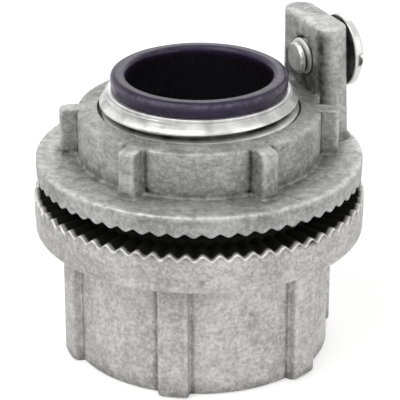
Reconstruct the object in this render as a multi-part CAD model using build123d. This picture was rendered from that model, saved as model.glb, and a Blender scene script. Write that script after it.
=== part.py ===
from build123d import *
import math
import os

# A watertight conduit hub: a threaded socket for rigid conduit below, a toothed
# flange with a rubber seal, and a threaded nipple that a toothed grounding
# locknut draws down against an enclosure wall. Millimetres, +Z up. The origin is
# on the axis of the socket, in the plane of its open lower end.

# Barrel, the lower part of the hub that the conduit screws into
barrel_wall = 6.12
barrel_edge_round = 0.9
rib_count = 6
rib_start_angle = -10.8
rib_height = 1.65
rib_width = 4.9
rib_edge_round = 0.7
rib_root_depth = 0.8

# Conduit thread, shown as a plain wall at its pitch radius
socket_radius = 15.73
socket_depth = 17.0
socket_countersink = 0.4

# Flange of the hub, with radial teeth and the groove of the seal
flange_radius = 27.7
flange_underside = 21.2
flange_thickness = 7.3
flange_edge_round = 1.0
flange_root_round = 1.6
hub_tooth_count = 64
hub_tooth_height = 1.25
hub_tooth_crest = 0.16
hub_tooth_crest_drop = 0.18
hub_tooth_wave_pull = 0.42
seal_groove_depth = 4.9

# Nipple, shown as a plain shank at the crest radius of its thread
nipple_radius = 16.55
nipple_wall = 3.25
nipple_length = 17.6
nipple_chamfer = 1.2

# Sealing ring
seal_section_radius = 2.825
seal_clearance = 0.15

# Grounding locknut, which starts with a gap for an enclosure wall between the teeth
nut_clearance = 0.06
nut_gap = 2.45
nut_flange_inset = 0.4
nut_groove_inset = 0.4
nut_flange_thickness = 3.65
nut_edge_round = 0.45
nut_tooth_count = 61
nut_tooth_height = 0.65
nut_tooth_land = 0.4
nut_recess_depth = 2.05
collar_wall = 3.7
collar_height = 7.75
collar_crown = 0.4
collar_edge_round = 0.35
collar_root_round = 0.6
bore_chamfer = 0.35
nut_rib_count = 6
nut_rib_start_angle = 29.5
nut_rib_height = 2.95
nut_rib_width = 3.6
nut_rib_drop = 0.1
nut_rib_edge_round = 0.9
nut_rib_root_depth = 0.8
rib_end_round = 0.4

# Ground lug, an upright plate on the locknut. Its own frame has X outward from
# the axis of the hub and Y along the plate, away from the front of the hub.
lug_angle = 115.0
lug_inset = 0.05
lug_top_thickness = 5.3
lug_root_thickness = 5.8
lug_height = 11.95
lug_near_end_at_root = -6.0
lug_near_end_at_top = -5.2
lug_far_end_at_root = 10.9
lug_far_end_at_top = 10.6
lug_end_round = 2.5
lug_top_round = 0.45

# Ground screw, shown as a plain shank at the crest radius of its thread
screw_radius = 3.1
screw_clearance = 0.06
screw_drop = 6.5
screw_offset = 1.7
screw_length = 8.4
screw_gap = 1.05
screw_tip_chamfer = 0.7
head_overhang = 3.1
head_height = 3.1
head_rim = 1.1
dome_quarter = 0.7
slot_width = 1.7
slot_depth = 1.5

# Insulated throat, a plastic liner pressed into the mouth of the nipple
throat_wall = 1.1
throat_lip_overlap = 1.55
throat_height = 2.6
throat_edge_round = 0.9
throat_skirt_length = 8.5
throat_lead_in = 0.7
throat_clearance = 0.05

# Radii that follow from the sizes above
barrel_radius = socket_radius + barrel_wall
rib_reach = barrel_radius + rib_height
nipple_bore_radius = nipple_radius - nipple_wall
groove_outer_radius = nipple_radius + 2 * (seal_section_radius + seal_clearance)
nut_bore_radius = nipple_radius + nut_clearance
nut_flange_radius = flange_radius - nut_flange_inset
nut_groove_outer_radius = groove_outer_radius - nut_groove_inset
collar_radius = nipple_radius + collar_wall
nut_rib_reach = collar_radius + nut_rib_height
throat_skirt_radius = nipple_bore_radius - throat_clearance
throat_bore_radius = throat_skirt_radius - throat_wall
throat_radius = nipple_bore_radius + throat_lip_overlap
head_radius = screw_radius + head_overhang

# Heights that follow from the sizes above
flange_tooth_tip = flange_underside + flange_thickness
seal_groove_floor = flange_tooth_tip - seal_groove_depth
nipple_top = flange_tooth_tip + nipple_length
nut_tooth_tip = flange_tooth_tip + nut_gap
nut_recess_roof = nut_tooth_tip + nut_recess_depth
nut_flange_top = nut_tooth_tip + nut_flange_thickness
collar_top = nut_flange_top + collar_height
lug_root = (nut_recess_roof + nut_flange_top) / 2
lug_top = collar_top + lug_height
screw_height = lug_top - screw_drop

# Places along the screw: the lug gets thicker downwards, so the head would first meet it at
# the height of its own lower edge
lug_inner_face = collar_radius - lug_inset
lug_slope = (lug_root_thickness - lug_top_thickness) / (lug_top - lug_root)
screw_seat = lug_inner_face + lug_top_thickness + lug_slope * (screw_drop + head_radius)
overlap = 1.0


def rounded_face(points, rounds):
    """A flat face from a closed run of points in a plane. rounds gives the
    radius of each corner that is rounded, by the number of its point."""
    face = make_face(Polyline(points, close=True).edges())
    for number, radius in rounds.items():
        x, y = points[number]
        corner = face.vertices().sort_by_distance((x, y, 0))[0]
        face = fillet(corner, radius)
    return face


def turned(points, rounds):
    """A solid of revolution about the axis, from points of radius and height."""
    return revolve(Plane.XZ * rounded_face(points, rounds), axis=Axis.Z)


def polar_turns(count, start_angle):
    """Even turns about the axis. Angles start at the front, the -Y side."""
    return [Rot(0, 0, start_angle + 360 * k / count - 90) for k in range(count)]


def ribs(turns, inner_radius, reach, width, bottom, top, edge_round, round_bottom):
    """Upright ribs on a round wall, with their outer corners rounded, and with
    the outer edge of the free end, the bottom or the top, rounded as well."""
    corner = (Align.MIN, Align.CENTER, Align.MIN)
    rib = Pos(inner_radius, 0, bottom) * Box(reach - inner_radius, width, top - bottom, align=corner)
    rib = fillet(rib.edges().filter_by(Axis.Z).group_by(Axis.X)[-1], edge_round)
    end_face = rib.faces().sort_by(Axis.Z)[0 if round_bottom else -1]
    rib = fillet(end_face.edges().group_by(Axis.X)[-1], rib_end_round)
    return [turn * rib for turn in turns]


def tooth_gap(radius, outer_radius, count, land, height, waved):
    """The section of the gap between two radial teeth, open towards +Y. It
    narrows and gets shallower in step with the radius. A waved gap has sides
    that curve over at the crest and level out at the root."""
    share = radius / outer_radius
    half = (2 * math.pi * outer_radius / count - land) / 2 * share
    depth = height * share
    if waved:
        near_crest = half * (1 - hub_tooth_wave_pull)
        near_root = half * hub_tooth_wave_pull
        drop = depth * hub_tooth_crest_drop
        left = Bezier((-half, 0), (-near_crest, -drop), (-near_root, -depth), (0, -depth))
        right = Bezier((0, -depth), (near_root, -depth), (near_crest, -drop), (half, 0))
        sides = left.edges() + right.edges()
    else:
        sides = ThreePointArc((-half, 0), (0, -depth), (half, 0)).edges()
    mouth = Polyline([(half, 0), (half, height), (-half, height), (-half, 0)])
    return make_face(sides + mouth.edges())


def tooth_gaps(count, outer_radius, inner_radius, tip, height, land, waved, side):
    """Tools that cut the gaps between the radial teeth of a flange. side is 1
    for teeth that point up and -1 for teeth that point down."""
    sections = []
    for radius in (inner_radius - overlap, outer_radius + overlap):
        across = Plane(origin=(radius, 0, tip), x_dir=(0, side, 0), z_dir=(1, 0, 0))
        sections.append(across * tooth_gap(radius, outer_radius, count, land, height, waved))
    gap = loft(sections, ruled=True)
    return [turn * gap for turn in polar_turns(count, 0)]


def make_hub_body():
    """The die-cast body: barrel, flange and nipple in one piece."""
    outline = [
        (socket_radius + socket_countersink, 0),
        (barrel_radius, 0),
        (barrel_radius, flange_underside),
        (flange_radius, flange_underside),
        (flange_radius, flange_tooth_tip),
        (groove_outer_radius, flange_tooth_tip),
        (groove_outer_radius, seal_groove_floor),
        (nipple_radius, seal_groove_floor),
        (nipple_radius, nipple_top - nipple_chamfer),
        (nipple_radius - nipple_chamfer, nipple_top),
        (nipple_bore_radius, nipple_top),
        (nipple_bore_radius, socket_depth),
        (socket_radius, socket_depth),
        (socket_radius, socket_countersink),
    ]
    body = turned(outline, {1: barrel_edge_round, 2: flange_root_round, 3: flange_edge_round})
    turns = polar_turns(rib_count, rib_start_angle)
    root = barrel_radius - rib_root_depth
    top = flange_underside + flange_edge_round
    body = body.fuse(*ribs(turns, root, rib_reach, rib_width, 0, top, rib_edge_round, True))
    gaps = tooth_gaps(
        hub_tooth_count,
        flange_radius,
        groove_outer_radius,
        flange_tooth_tip,
        hub_tooth_height,
        hub_tooth_crest,
        True,
        1,
    )
    return body.cut(*gaps)


def make_sealing_ring():
    """A rubber ring in the groove between the teeth and the nipple."""
    height = seal_groove_floor + seal_clearance + seal_section_radius
    radius = nipple_radius + seal_clearance + seal_section_radius
    section = Plane.XZ * Pos(radius, height) * Circle(seal_section_radius)
    return revolve(section, axis=Axis.Z)


def make_insulated_throat():
    """The plastic liner: a rounded lip on the end of the nipple, and a skirt."""
    skirt_end = nipple_top - throat_skirt_length
    lip_top = nipple_top + throat_height
    outline = [
        (throat_bore_radius, skirt_end + 2 * throat_lead_in),
        (throat_bore_radius + throat_lead_in, skirt_end),
        (throat_skirt_radius, skirt_end),
        (throat_skirt_radius, nipple_top),
        (throat_radius, nipple_top),
        (throat_radius, lip_top),
        (throat_bore_radius, lip_top),
    ]
    return turned(outline, {5: throat_edge_round, 6: throat_edge_round})


def make_lug():
    """The upright plate with round ends, its filler down to the collar, and its
    hole. X is outward and Y is along the plate."""
    outer_at_root = lug_inner_face + lug_root_thickness
    side = [
        (lug_inner_face, lug_root),
        (outer_at_root, lug_root),
        (lug_inner_face + lug_top_thickness, lug_top),
        (lug_inner_face, lug_top),
    ]
    front = [
        (lug_near_end_at_root, lug_root),
        (lug_far_end_at_root, lug_root),
        (lug_far_end_at_top, lug_top),
        (lug_near_end_at_top, lug_top),
    ]
    slab = extrude(Plane.XZ * rounded_face(side, {}), amount=2 * lug_far_end_at_root, both=True)
    plate = slab & extrude(Plane.YZ * rounded_face(front, {}), amount=2 * outer_at_root)
    ends = [edge for edge in plate.edges() if abs(edge.tangent_at(0.5).Z) > 0.9]
    plate = fillet(ends, lug_end_round)
    plate = fillet(plate.faces().sort_by(Axis.Z)[-1].edges(), lug_top_round)
    filler_face = (nut_bore_radius + collar_radius) / 2
    filler_length = lug_far_end_at_top - lug_near_end_at_top
    filler_top = collar_top - nut_rib_drop
    filler = Pos(filler_face, lug_near_end_at_top, lug_root) * Box(
        lug_inner_face + lug_end_round - filler_face,
        filler_length,
        filler_top - lug_root,
        align=(Align.MIN, Align.MIN, Align.MIN),
    )
    drill = Cylinder(screw_radius + screw_clearance, 4 * outer_at_root)
    hole = Pos(0, screw_offset, screw_height) * Rot(0, 90, 0) * drill
    return plate.fuse(filler).cut(hole)


def make_grounding_locknut():
    """The die-cast locknut: toothed flange, ribbed collar and ground lug."""
    outline = [
        (nut_bore_radius, nut_recess_roof),
        (nut_groove_outer_radius, nut_recess_roof),
        (nut_groove_outer_radius, nut_tooth_tip),
        (nut_flange_radius, nut_tooth_tip),
        (nut_flange_radius, nut_flange_top),
        (collar_radius, nut_flange_top),
        (collar_radius, collar_top),
        (nut_bore_radius + bore_chamfer, collar_top + collar_crown),
        (nut_bore_radius, collar_top + collar_crown - bore_chamfer),
    ]
    nut = turned(outline, {4: nut_edge_round, 5: collar_root_round, 6: collar_edge_round})
    root = collar_radius - nut_rib_root_depth
    top = collar_top - nut_rib_drop
    turns = polar_turns(nut_rib_count, nut_rib_start_angle)
    bottom = nut_flange_top - rib_end_round
    nut_ribs = ribs(turns, root, nut_rib_reach, nut_rib_width, bottom, top, nut_rib_edge_round, False)
    lug = Rot(0, 0, lug_angle - 90) * make_lug()
    nut = nut.fuse(*nut_ribs, lug)
    gaps = tooth_gaps(
        nut_tooth_count,
        nut_flange_radius,
        nut_groove_outer_radius,
        nut_tooth_tip,
        nut_tooth_height,
        nut_tooth_land,
        False,
        -1,
    )
    return nut.cut(*gaps)


def make_ground_screw():
    """A slotted pan head screw in the lug, with its head outward."""
    seat = screw_seat + screw_gap
    tip = seat - screw_length
    top = seat + head_height
    shoulder = (seat + head_rim, head_radius)
    crown = (seat + head_rim + (head_height - head_rim) * dome_quarter, head_radius * dome_quarter)
    lines = Polyline(
        [
            (top, 0),
            (tip, 0),
            (tip, screw_radius - screw_tip_chamfer),
            (tip + screw_tip_chamfer, screw_radius),
            (seat, screw_radius),
            (seat, head_radius),
            shoulder,
        ]
    )
    dome = ThreePointArc(shoulder, crown, (top, 0))
    screw = revolve(make_face(lines.edges() + dome.edges()), axis=Axis.X)
    slot = Pos(top - slot_depth, 0, 0) * Box(
        slot_depth + overlap,
        2 * head_radius + overlap,
        slot_width,
        align=(Align.MIN, Align.CENTER, Align.CENTER),
    )
    return Rot(0, 0, lug_angle - 90) * Pos(0, screw_offset, screw_height) * (screw - slot)


def main():
    os.makedirs("parts", exist_ok=True)
    nodes = {
        "hub_body": make_hub_body(),
        "sealing_ring": make_sealing_ring(),
        "insulated_throat": make_insulated_throat(),
        "grounding_locknut": make_grounding_locknut(),
        "ground_screw": make_ground_screw(),
    }
    for name, solid in nodes.items():
        export_step(solid, "parts/" + name + ".step")


main()
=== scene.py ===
import math

import bmesh
import bpy
import numpy as np
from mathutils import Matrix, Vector
from mathutils.kdtree import KDTree


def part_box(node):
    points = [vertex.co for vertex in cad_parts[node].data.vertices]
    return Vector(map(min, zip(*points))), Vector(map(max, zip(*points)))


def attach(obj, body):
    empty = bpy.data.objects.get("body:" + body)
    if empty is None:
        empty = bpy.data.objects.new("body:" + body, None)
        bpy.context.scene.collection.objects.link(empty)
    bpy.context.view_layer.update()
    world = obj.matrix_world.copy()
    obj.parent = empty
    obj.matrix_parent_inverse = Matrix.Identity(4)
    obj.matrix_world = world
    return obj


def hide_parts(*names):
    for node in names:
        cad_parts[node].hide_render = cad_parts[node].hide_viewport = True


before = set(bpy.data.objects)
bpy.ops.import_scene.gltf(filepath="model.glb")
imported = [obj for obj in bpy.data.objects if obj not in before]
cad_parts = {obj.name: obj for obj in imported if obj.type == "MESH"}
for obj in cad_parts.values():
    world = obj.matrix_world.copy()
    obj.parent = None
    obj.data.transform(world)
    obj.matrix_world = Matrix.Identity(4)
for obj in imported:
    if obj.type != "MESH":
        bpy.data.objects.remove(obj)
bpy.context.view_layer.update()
print("frame loaded")

# Sizes in this script are millimetres and degrees. Angles go round the axis of the hub from
# its front, the -Y side, towards +X.
mm = 0.001
fullTurn = 2 * math.pi


def cadTop(node):
    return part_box(node)[1].z / mm


def cadReach(node):
    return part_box(node)[1].x / mm


# What every piece shares: heights and radii of the CAD model, the pitch of the nipple's thread,
# the angle of a sharp edge, and how near two points have to lie to count as one
shared = dict(
    hubTop=cadTop("hub_body"),
    hubReach=cadReach("hub_body"),
    nutReach=-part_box("grounding_locknut")[0].x / mm,
    nutToothTip=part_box("grounding_locknut")[0].z / mm,
    lugTop=cadTop("grounding_locknut"),
    throatTop=cadTop("insulated_throat"),
    throatReach=cadReach("insulated_throat"),
    pitch=25.4 / 11.5,
    threadRows=8,
    bridgeRatio=4,
    sharpAngle=38,
    samePlace=3e-3,
    doubled=2e-4,
)


# A row of angles that divides a full turn evenly
def ringAngles(count):
    return fullTurn * np.arange(count)[None, :] / count


# The point at an angle round the axis, a distance from it and a height
def aroundAxis(angle, radius, height):
    angle, radius, height = np.broadcast_arrays(angle, radius, height)
    return np.stack([radius * np.sin(angle), -radius * np.cos(angle), height], -1)


# A profile of radius and height turned round the axis
def turned(angle, profile):
    return aroundAxis(angle, profile[:, :1], profile[:, 1:])


# A grid of points with two marks beside each: how far its surface is brightened, as a painted
# highlight and in places as a real scuff, and how far it is darkened, as painted shade and at
# one place as a real stain
def marked(grid, highlightAndWear=0.0, shadeAndStain=0.0):
    marks = [np.broadcast_to(mark, grid.shape[:-1])[..., None] for mark in (highlightAndWear, shadeAndStain)]
    return np.concatenate([grid, *marks], -1)


# A bell curve: 1 at a place and nearly 0 two spreads away from it
def bell(value, place, spread):
    return np.exp(-(((value - place) / spread) ** 2))


# A ramp: 0 up to a place, then rising to 1 over a run, and falling the other way if the run is
# negative
def ramp(value, place, run):
    return np.clip((value - place) / run, 0, 1)


# A mark along a line of a piece, be it painted highlight, painted shade or a worn scuff: a bell
# curve at an offset from the line, with its own spread and strength
def markAt(value, line, paintedLightAndWear):
    offset, spread, strength = paintedLightAndWear
    return strength * bell(value, line + offset, spread)


# The sum of several such marked lines, each kept to its own zone
def marksOf(*lines):
    return sum(markAt(value, line, paintedLightAndWear) * zone for value, line, paintedLightAndWear, zone in lines)


# A line through corners. A corner is cut back by its radius over the tangent of half the
# angle inside it, and bridged by an arc about the point that lies the radius from both sides.
def roundedLine(corners, rounds, arcSteps=5):
    corners = np.array(corners, float)
    line = [corners[:1]]
    for number in range(1, len(corners) - 1):
        corner = corners[number]
        radius = rounds.get(number, 0)
        if not radius:
            line.append(corner[None])
            continue
        back = corners[number - 1] - corner
        ahead = corners[number + 1] - corner
        back = back / np.linalg.norm(back)
        ahead = ahead / np.linalg.norm(ahead)
        half = math.acos(np.clip(back @ ahead, -1, 1)) / 2
        middle = (back + ahead) / np.linalg.norm(back + ahead)
        centre = corner + middle * radius / math.sin(half)
        first = corner + back * radius / math.tan(half) - centre
        last = corner + ahead * radius / math.tan(half) - centre
        sweep = math.pi - 2 * half
        share = np.linspace(0, 1, arcSteps + 1)[:, None]
        arc = (np.sin((1 - share) * sweep) * first + np.sin(share * sweep) * last) / math.sin(sweep)
        line.append(centre + arc)
    line.append(corners[-1:])
    return np.concatenate(line)


# The same line with points added, so that no stretch of it is longer than the given length
def divided(line, longest):
    counts = [max(1, math.ceil(s / longest)) for s in np.linalg.norm(np.diff(line, axis=0), axis=1)]
    shares = [np.linspace(0, 1, count, endpoint=False)[:, None] for count in counts]
    runs = [a + (b - a) * share for a, b, share in zip(line[:-1], line[1:], shares)]
    return np.concatenate(runs + [line[-1:]])


# Angles round the axis that draw together near some places: they are read back from the
# running sum of 1 plus a bell curve at each place
def crowdedAngles(count, places, spread, pull):
    fine = np.linspace(0, fullTurn, 7201)
    away = np.angle(np.exp(1j * (fine[:-1, None] - np.radians(places)[None, :])))
    density = 1 + pull * np.exp(-((away / math.radians(spread)) ** 2)).sum(1)
    total = np.concatenate([[0], np.cumsum(density)])
    return np.interp(np.arange(count) / count, total / total[-1], fine)


# The angles of a row of columns: evenly spread, and crowded towards the edges of the ribs
def ribColumns(columns, rib, radius):
    edges = np.degrees((rib["width"] / 2 + rib["draft"]) / radius)
    places = np.concatenate([rib["places"] - edges, rib["places"] + edges])
    plain = ringAngles(columns)[0]
    return plain, crowdedAngles(columns, places, rib["crowdSpread"], rib["crowdPull"])


# The distance along a round wall from the middle of the nearest rib
def fromRib(angle, rib, radius):
    away = np.angle(np.exp(1j * (angle[..., None] - np.radians(rib["places"]))))
    return np.abs(away).min(-1) * radius


# How far ribs carry a round wall outwards. The distance from the nearest rib's middle is
# looked up on a rounded step from the rib's height down to nothing.
def ribRise(along, rib, radius):
    height = rib["reach"] - radius
    half = rib["width"] / 2
    step = [(-1, height), (half, height), (half + rib["draft"], 0), (half + 3 * rib["root"] + 1, 0)]
    step = roundedLine(step, {1: rib["corner"], 2: rib["root"]}, 6)
    return np.interp(along, step[:, 0], step[:, 1])


# The share of a tooth's height that is missing at each angle, 0 on a crest and 1 in a valley:
# a cosine wave, mixed with a power of the distance from the crest that makes a sharp valley
def toothDip(angle, tooth):
    phase = angle * tooth["count"] / fullTurn - tooth["firstCrest"] * tooth["count"] / 360
    phase = (phase + 0.5) % 1 - 0.5
    wave = (1 - np.cos(fullTurn * phase)) / 2
    cusp = np.abs(2 * phase) ** tooth["cuspPower"]
    return wave + (cusp - wave) * tooth["cuspShare"]


# The toothed face of a flange, which points up or down: its side climbs to the height of the
# teeth at each angle, turns over a small round, and runs inwards to a wall. The gaps grow
# shallower in step with the radius.
def teethGrids(columns, tooth, sizes, reach, up):
    angle = ringAngles(columns)
    dip = toothDip(angle, tooth) * sizes["toothHeight"]
    edge = sizes["toothRound"]
    base = sizes["toothBase"]
    crown = sizes["toothTip"] - up * dip
    climb = np.linspace(0, 1, sizes["toothSteps"] + 1)[1:, None]
    turn = np.radians([22, 45, 68, 90])[:, None]
    inward = np.linspace(reach - edge, sizes["toothInner"], 7)[1:, None]
    wall = np.array(sizes["toothWall"])[:, None]
    return dict(
        climb=climb,
        crest=1 - dip / sizes["toothHeight"],
        inside=(reach - inward) / (reach - sizes["toothInner"]),
        side=aroundAxis(angle, reach, base + climb * (crown - up * edge - base)),
        bend=aroundAxis(angle, reach - edge * (1 - np.cos(turn)), crown - up * edge * (1 - np.sin(turn))),
        face=aroundAxis(angle, inward, sizes["toothTip"] - up * dip * inward / reach),
        wall=aroundAxis(angle, sizes["toothInner"], wall),
    )


# A thread's radius at each angle and height: the distance along the axis from the nearest
# crest is looked up on a trapezoid, which climbs one pitch in a turn
def threadRadius(angle, height, thread):
    turns = (height - thread["crestHeight"]) / thread["pitch"] - angle / fullTurn
    along = np.abs((turns + 0.5) % 1 - 0.5) * thread["pitch"]
    flank = abs(thread["crest"] - thread["root"]) * math.tan(math.radians(30))
    step = [(-1, thread["crest"]), (thread["land"] / 2, thread["crest"])]
    step += [(thread["land"] / 2 + flank, thread["root"]), (9, thread["root"])]
    step = np.array(step)
    return np.interp(along, step[:, 0], step[:, 1])


# A tube of rings whose rows climb with a thread, one pitch in a turn, and are cut off flat at
# both ends. Each row then keeps to one place on the thread, and its crest stays crisp. What
# lies near the radius of the root is darkened as painted shade, and what lies near the crest is
# brightened as a painted highlight; above a given height the painted shade is mostly dropped.
def threadPatch(low, high, columns, radiusAt, thread):
    rows = shared["threadRows"]
    pitch = thread["pitch"]
    count = math.ceil((high - low) / pitch * rows) + rows
    row = np.arange(count + 1)[:, None]
    column = np.arange(columns)[None, :]
    height = low + (row - rows + rows * column / columns) * pitch / rows
    height = np.clip(height, low, high)
    angle = fullTurn * column / columns + 0 * height
    radius = radiusAt(angle, height)
    depth = ramp(radius, thread["crest"], thread["root"] - thread["crest"])
    depth = np.where(height > thread.get("cleanAbove", high), 0.2 * depth, depth)
    return marked(aroundAxis(angle, radius, height), (1 - depth) ** 2, depth**2), rows


# The faces of a tube of rings. A row that climbs meets the row that lies so many rows higher
# where its turn closes.
def tubeFaces(rows, columns, start, climb):
    row = np.arange(rows - 1)[:, None]
    column = np.arange(columns)[None, :]
    beside = (column + 1) % columns
    lift = np.where(beside == 0, climb, 0)
    here = row * columns + column
    lower = np.clip(row + lift, 0, rows - 1) * columns + beside
    upper = np.clip(row + 1 + lift, 0, rows - 1) * columns + beside
    return np.stack([here, lower, upper, here + columns], -1).reshape(-1, 4) + start


# The faces between two rings: squares where they have as many points, and otherwise fans
# from each point of the coarse ring to its share of the fine one
def bridgeFaces(first, firstCount, last, lastCount):
    if firstCount == lastCount:
        here = np.arange(firstCount)
        beside = (here + 1) % firstCount
        return [np.stack([first + here, first + beside, last + beside, last + here], -1)]
    fine, fineCount, coarse, coarseCount = first, firstCount, last, lastCount
    if fineCount < coarseCount:
        fine, fineCount, coarse, coarseCount = last, lastCount, first, firstCount
    ratio = fineCount // coarseCount
    here = np.arange(fineCount)
    owner = (here // ratio + (here % ratio >= ratio / 2)) % coarseCount
    fans = np.stack([fine + here, fine + (here + 1) % fineCount, coarse + owner], -1)
    corner = np.arange(coarseCount)
    between = fine + corner * ratio + math.ceil(ratio / 2)
    middles = [coarse + corner, between, coarse + (corner + 1) % coarseCount]
    return [fans, np.stack(middles, -1)]


# One closed mesh from patches, each a tube of rings. Each patch joins the next. The last joins
# the first, or each end closes on a middle point, or the end rings close on themselves.
def meshFromPatches(name, patches, ends="joined"):
    points = []
    faces = []
    rings = []
    start = 0
    for patch in patches:
        grid, climb = patch if isinstance(patch, tuple) else (patch, 0)
        grid = grid if grid.shape[-1] == 5 else marked(grid)
        rows, columns = grid.shape[:2]
        points.append(grid.reshape(-1, 5))
        faces.append(tubeFaces(rows, columns, start, climb))
        rings.append((start, start + (rows - 1) * columns, columns))
        start += rows * columns
    links = list(zip(rings, rings[1:] + rings[:1]))
    for left, right in links if ends == "joined" else links[:-1]:
        faces += bridgeFaces(left[1], left[2], right[0], right[2])
    if ends == "capped":
        for ring, columns in [(rings[0][0], rings[0][2]), (rings[-1][1], rings[-1][2])]:
            allPoints = np.concatenate(points)
            points.append(allPoints[ring : ring + columns].mean(0)[None])
            here = np.arange(columns)
            centre = here * 0 + start
            faces.append(np.stack([ring + here, ring + (here + 1) % columns, centre], -1))
            start += 1
    return meshPiece(name, np.concatenate(points), faces)


def readMarks(mesh):
    marks = np.zeros((2, len(mesh.vertices)), np.float32)
    for row, label in zip(marks, ("highlightAndWear", "shadeAndStain")):
        mesh.attributes[label].data.foreach_get("value", row)
    return marks.T


def writeMarks(mesh, marks):
    for row, label in zip(np.ascontiguousarray(marks.T, np.float32), ("highlightAndWear", "shadeAndStain")):
        mesh.attributes[label].data.foreach_set("value", row)


def addObject(name, data):
    added = bpy.data.objects.new(name, data)
    bpy.context.scene.collection.objects.link(added)
    return added


# Smooth faces, with a mark on each edge that turns sharply
def shadeSmooth(mesh):
    mesh.polygons.foreach_set("use_smooth", np.ones(len(mesh.polygons), bool))
    mesh.set_sharp_from_angle(angle=math.radians(shared["sharpAngle"]))


# An object at the origin from marked points and faces: doubled points are merged and faces
# turned outwards
def meshPiece(name, points, faces):
    mesh = bpy.data.meshes.new(name)
    places = (points[:, :3] * mm).tolist()
    mesh.from_pydata(places, [], [face for block in faces for face in block.tolist()])
    for label in ("highlightAndWear", "shadeAndStain"):
        mesh.attributes.new(label, "FLOAT", "POINT")
    writeMarks(mesh, points[:, 3:])
    work = bmesh.new()
    work.from_mesh(mesh)
    bmesh.ops.remove_doubles(work, verts=work.verts, dist=shared["doubled"] * mm)
    bmesh.ops.recalc_face_normals(work, faces=work.faces)
    openEdges = sum(len(edge.link_faces) != 2 for edge in work.edges)
    work.to_mesh(mesh)
    work.free()
    shadeSmooth(mesh)
    print(name, "faces", len(mesh.polygons), "open edges", openEdges)
    return addObject(name, mesh)


def placeAngles(first, count):
    return first + 360 / count * np.arange(count)


def pipeThread(**values):
    return dict(pitch=shared["pitch"], land=0.5, **values)


# Hub body

hub = dict(
    socket=15.73,
    socketDepth=17.0,
    countersink=0.4,
    barrel=21.85,
    barrelRound=0.9,
    underside=21.2,
    undersideRound=1.6,
    rimRound=1.0,
    partingHeight=24.2,
    partingStep=0.1,
    toothBase=26.6,
    toothTip=28.15,
    toothHeight=0.9,
    toothRound=0.36,
    toothInner=22.5,
    toothSteps=4,
    toothWall=(24.6, 23.6),
    grooveFloor=23.6,
    nippleLip=0.5,
    lipInset=0.15,
    lipRounds={1: 0.12, 2: 0.2, 3: 0.5},
    lipHighlight=(0.3, 0.9),
    waterway=13.3,
    columnsPerTooth=14,
    ribFade=25.5,
    wallTop=20.8,
    cutReach=16.62,
    cutSocket=(0.2, 16.9),
    cutNipple=23.7,
    scuffAngle=40.5,
    scuffSpread=4.5,
    toothEdgeHighlight=0.25,
    toothSideShadeAndScuff=0.5,
    toothFaceShade=1.3,
    ribEdgeHighlight=(-0.25, 0.35, 0.25),
    rimEdgeHighlight=(0.5, 0.35, 0.35),
    partingHighlight=(0, 0.1, 0.2),
    neckShade=(0, 1.3, 0.5),
    neckSpread=2,
    ribFootShade=(0.45, 0.4, 0.35),
    bottomShade=(0, 1.6, 0.45),
)
hubRib = dict(
    places=placeAngles(-10.8, 6),
    reach=23.5,
    width=4.7,
    draft=0.2,
    corner=0.7,
    root=0.35,
    crowdSpread=1.6,
    crowdPull=9,
)
hubTooth = dict(count=64, firstCrest=1.3, cuspPower=2.4, cuspShare=0.1)
nippleThread = pipeThread(crestHeight=44.2, crest=16.55, root=15.35, cleanAbove=43.9)
socketThread = pipeThread(crestHeight=1.2, crest=15.2, root=16.35)


# The barrel and the side of the flange: a profile of radius and height turned round the axis,
# with the rise of the ribs added in full on the barrel's wall and fading out over the
# bottom face and the underside of the flange
def barrelPatch(columns):
    reach = shared["hubReach"]
    inner = hub["socket"] + hub["countersink"]
    step = hub["partingStep"]
    corners = [
        (inner, 0),
        (hub["barrel"], 0),
        (hub["barrel"], hub["underside"]),
        (reach - step, hub["underside"]),
        (reach - step, hub["partingHeight"] - step),
        (reach, hub["partingHeight"] + step),
        (reach, hub["toothBase"]),
    ]
    rounds = {1: hub["barrelRound"], 2: hub["undersideRound"], 3: hub["rimRound"]}
    line = divided(roundedLine(corners, rounds), 1.3)
    radius, height = line[:, :1], line[:, 1:]
    below = (radius - inner) / (hub["barrel"] - inner)
    above = 1 - (radius - hub["barrel"]) / (hub["ribFade"] - hub["barrel"])
    weight = np.where(radius <= hub["barrel"] + 1e-6, below, np.clip(above, 0, 1))
    plain, crowd = ribColumns(columns, hubRib, hub["barrel"])
    onBarrel = ramp(height, hub["partingHeight"], -3)
    angle = plain + (crowd - plain) * onBarrel
    along = fromRib(angle, hubRib, hub["barrel"])
    rise = ribRise(along, hubRib, hub["barrel"])
    half = hubRib["width"] / 2
    onWall = weight * (height < hub["wallTop"])
    atNeck = bell(radius, hub["barrel"], hub["neckSpread"])
    # Painted highlights on the rib edges, the rim's edge and the parting step, and painted shade at the neck
    # under the flange, beside the feet of the ribs and towards the bottom
    highlightAndWear = marksOf(
        (along, half, hub["ribEdgeHighlight"], onWall),
        (height, hub["underside"], hub["rimEdgeHighlight"], radius > hub["ribFade"]),
        (height, hub["partingHeight"], hub["partingHighlight"], 1),
    )
    shadeAndStain = marksOf(
        (height, hub["underside"], hub["neckShade"], atNeck),
        (along, half + hubRib["draft"], hub["ribFootShade"], onWall),
        (height, 0, hub["bottomShade"], 1),
    )
    return marked(aroundAxis(angle, radius + rise * weight, height), highlightAndWear, shadeAndStain)


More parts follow.
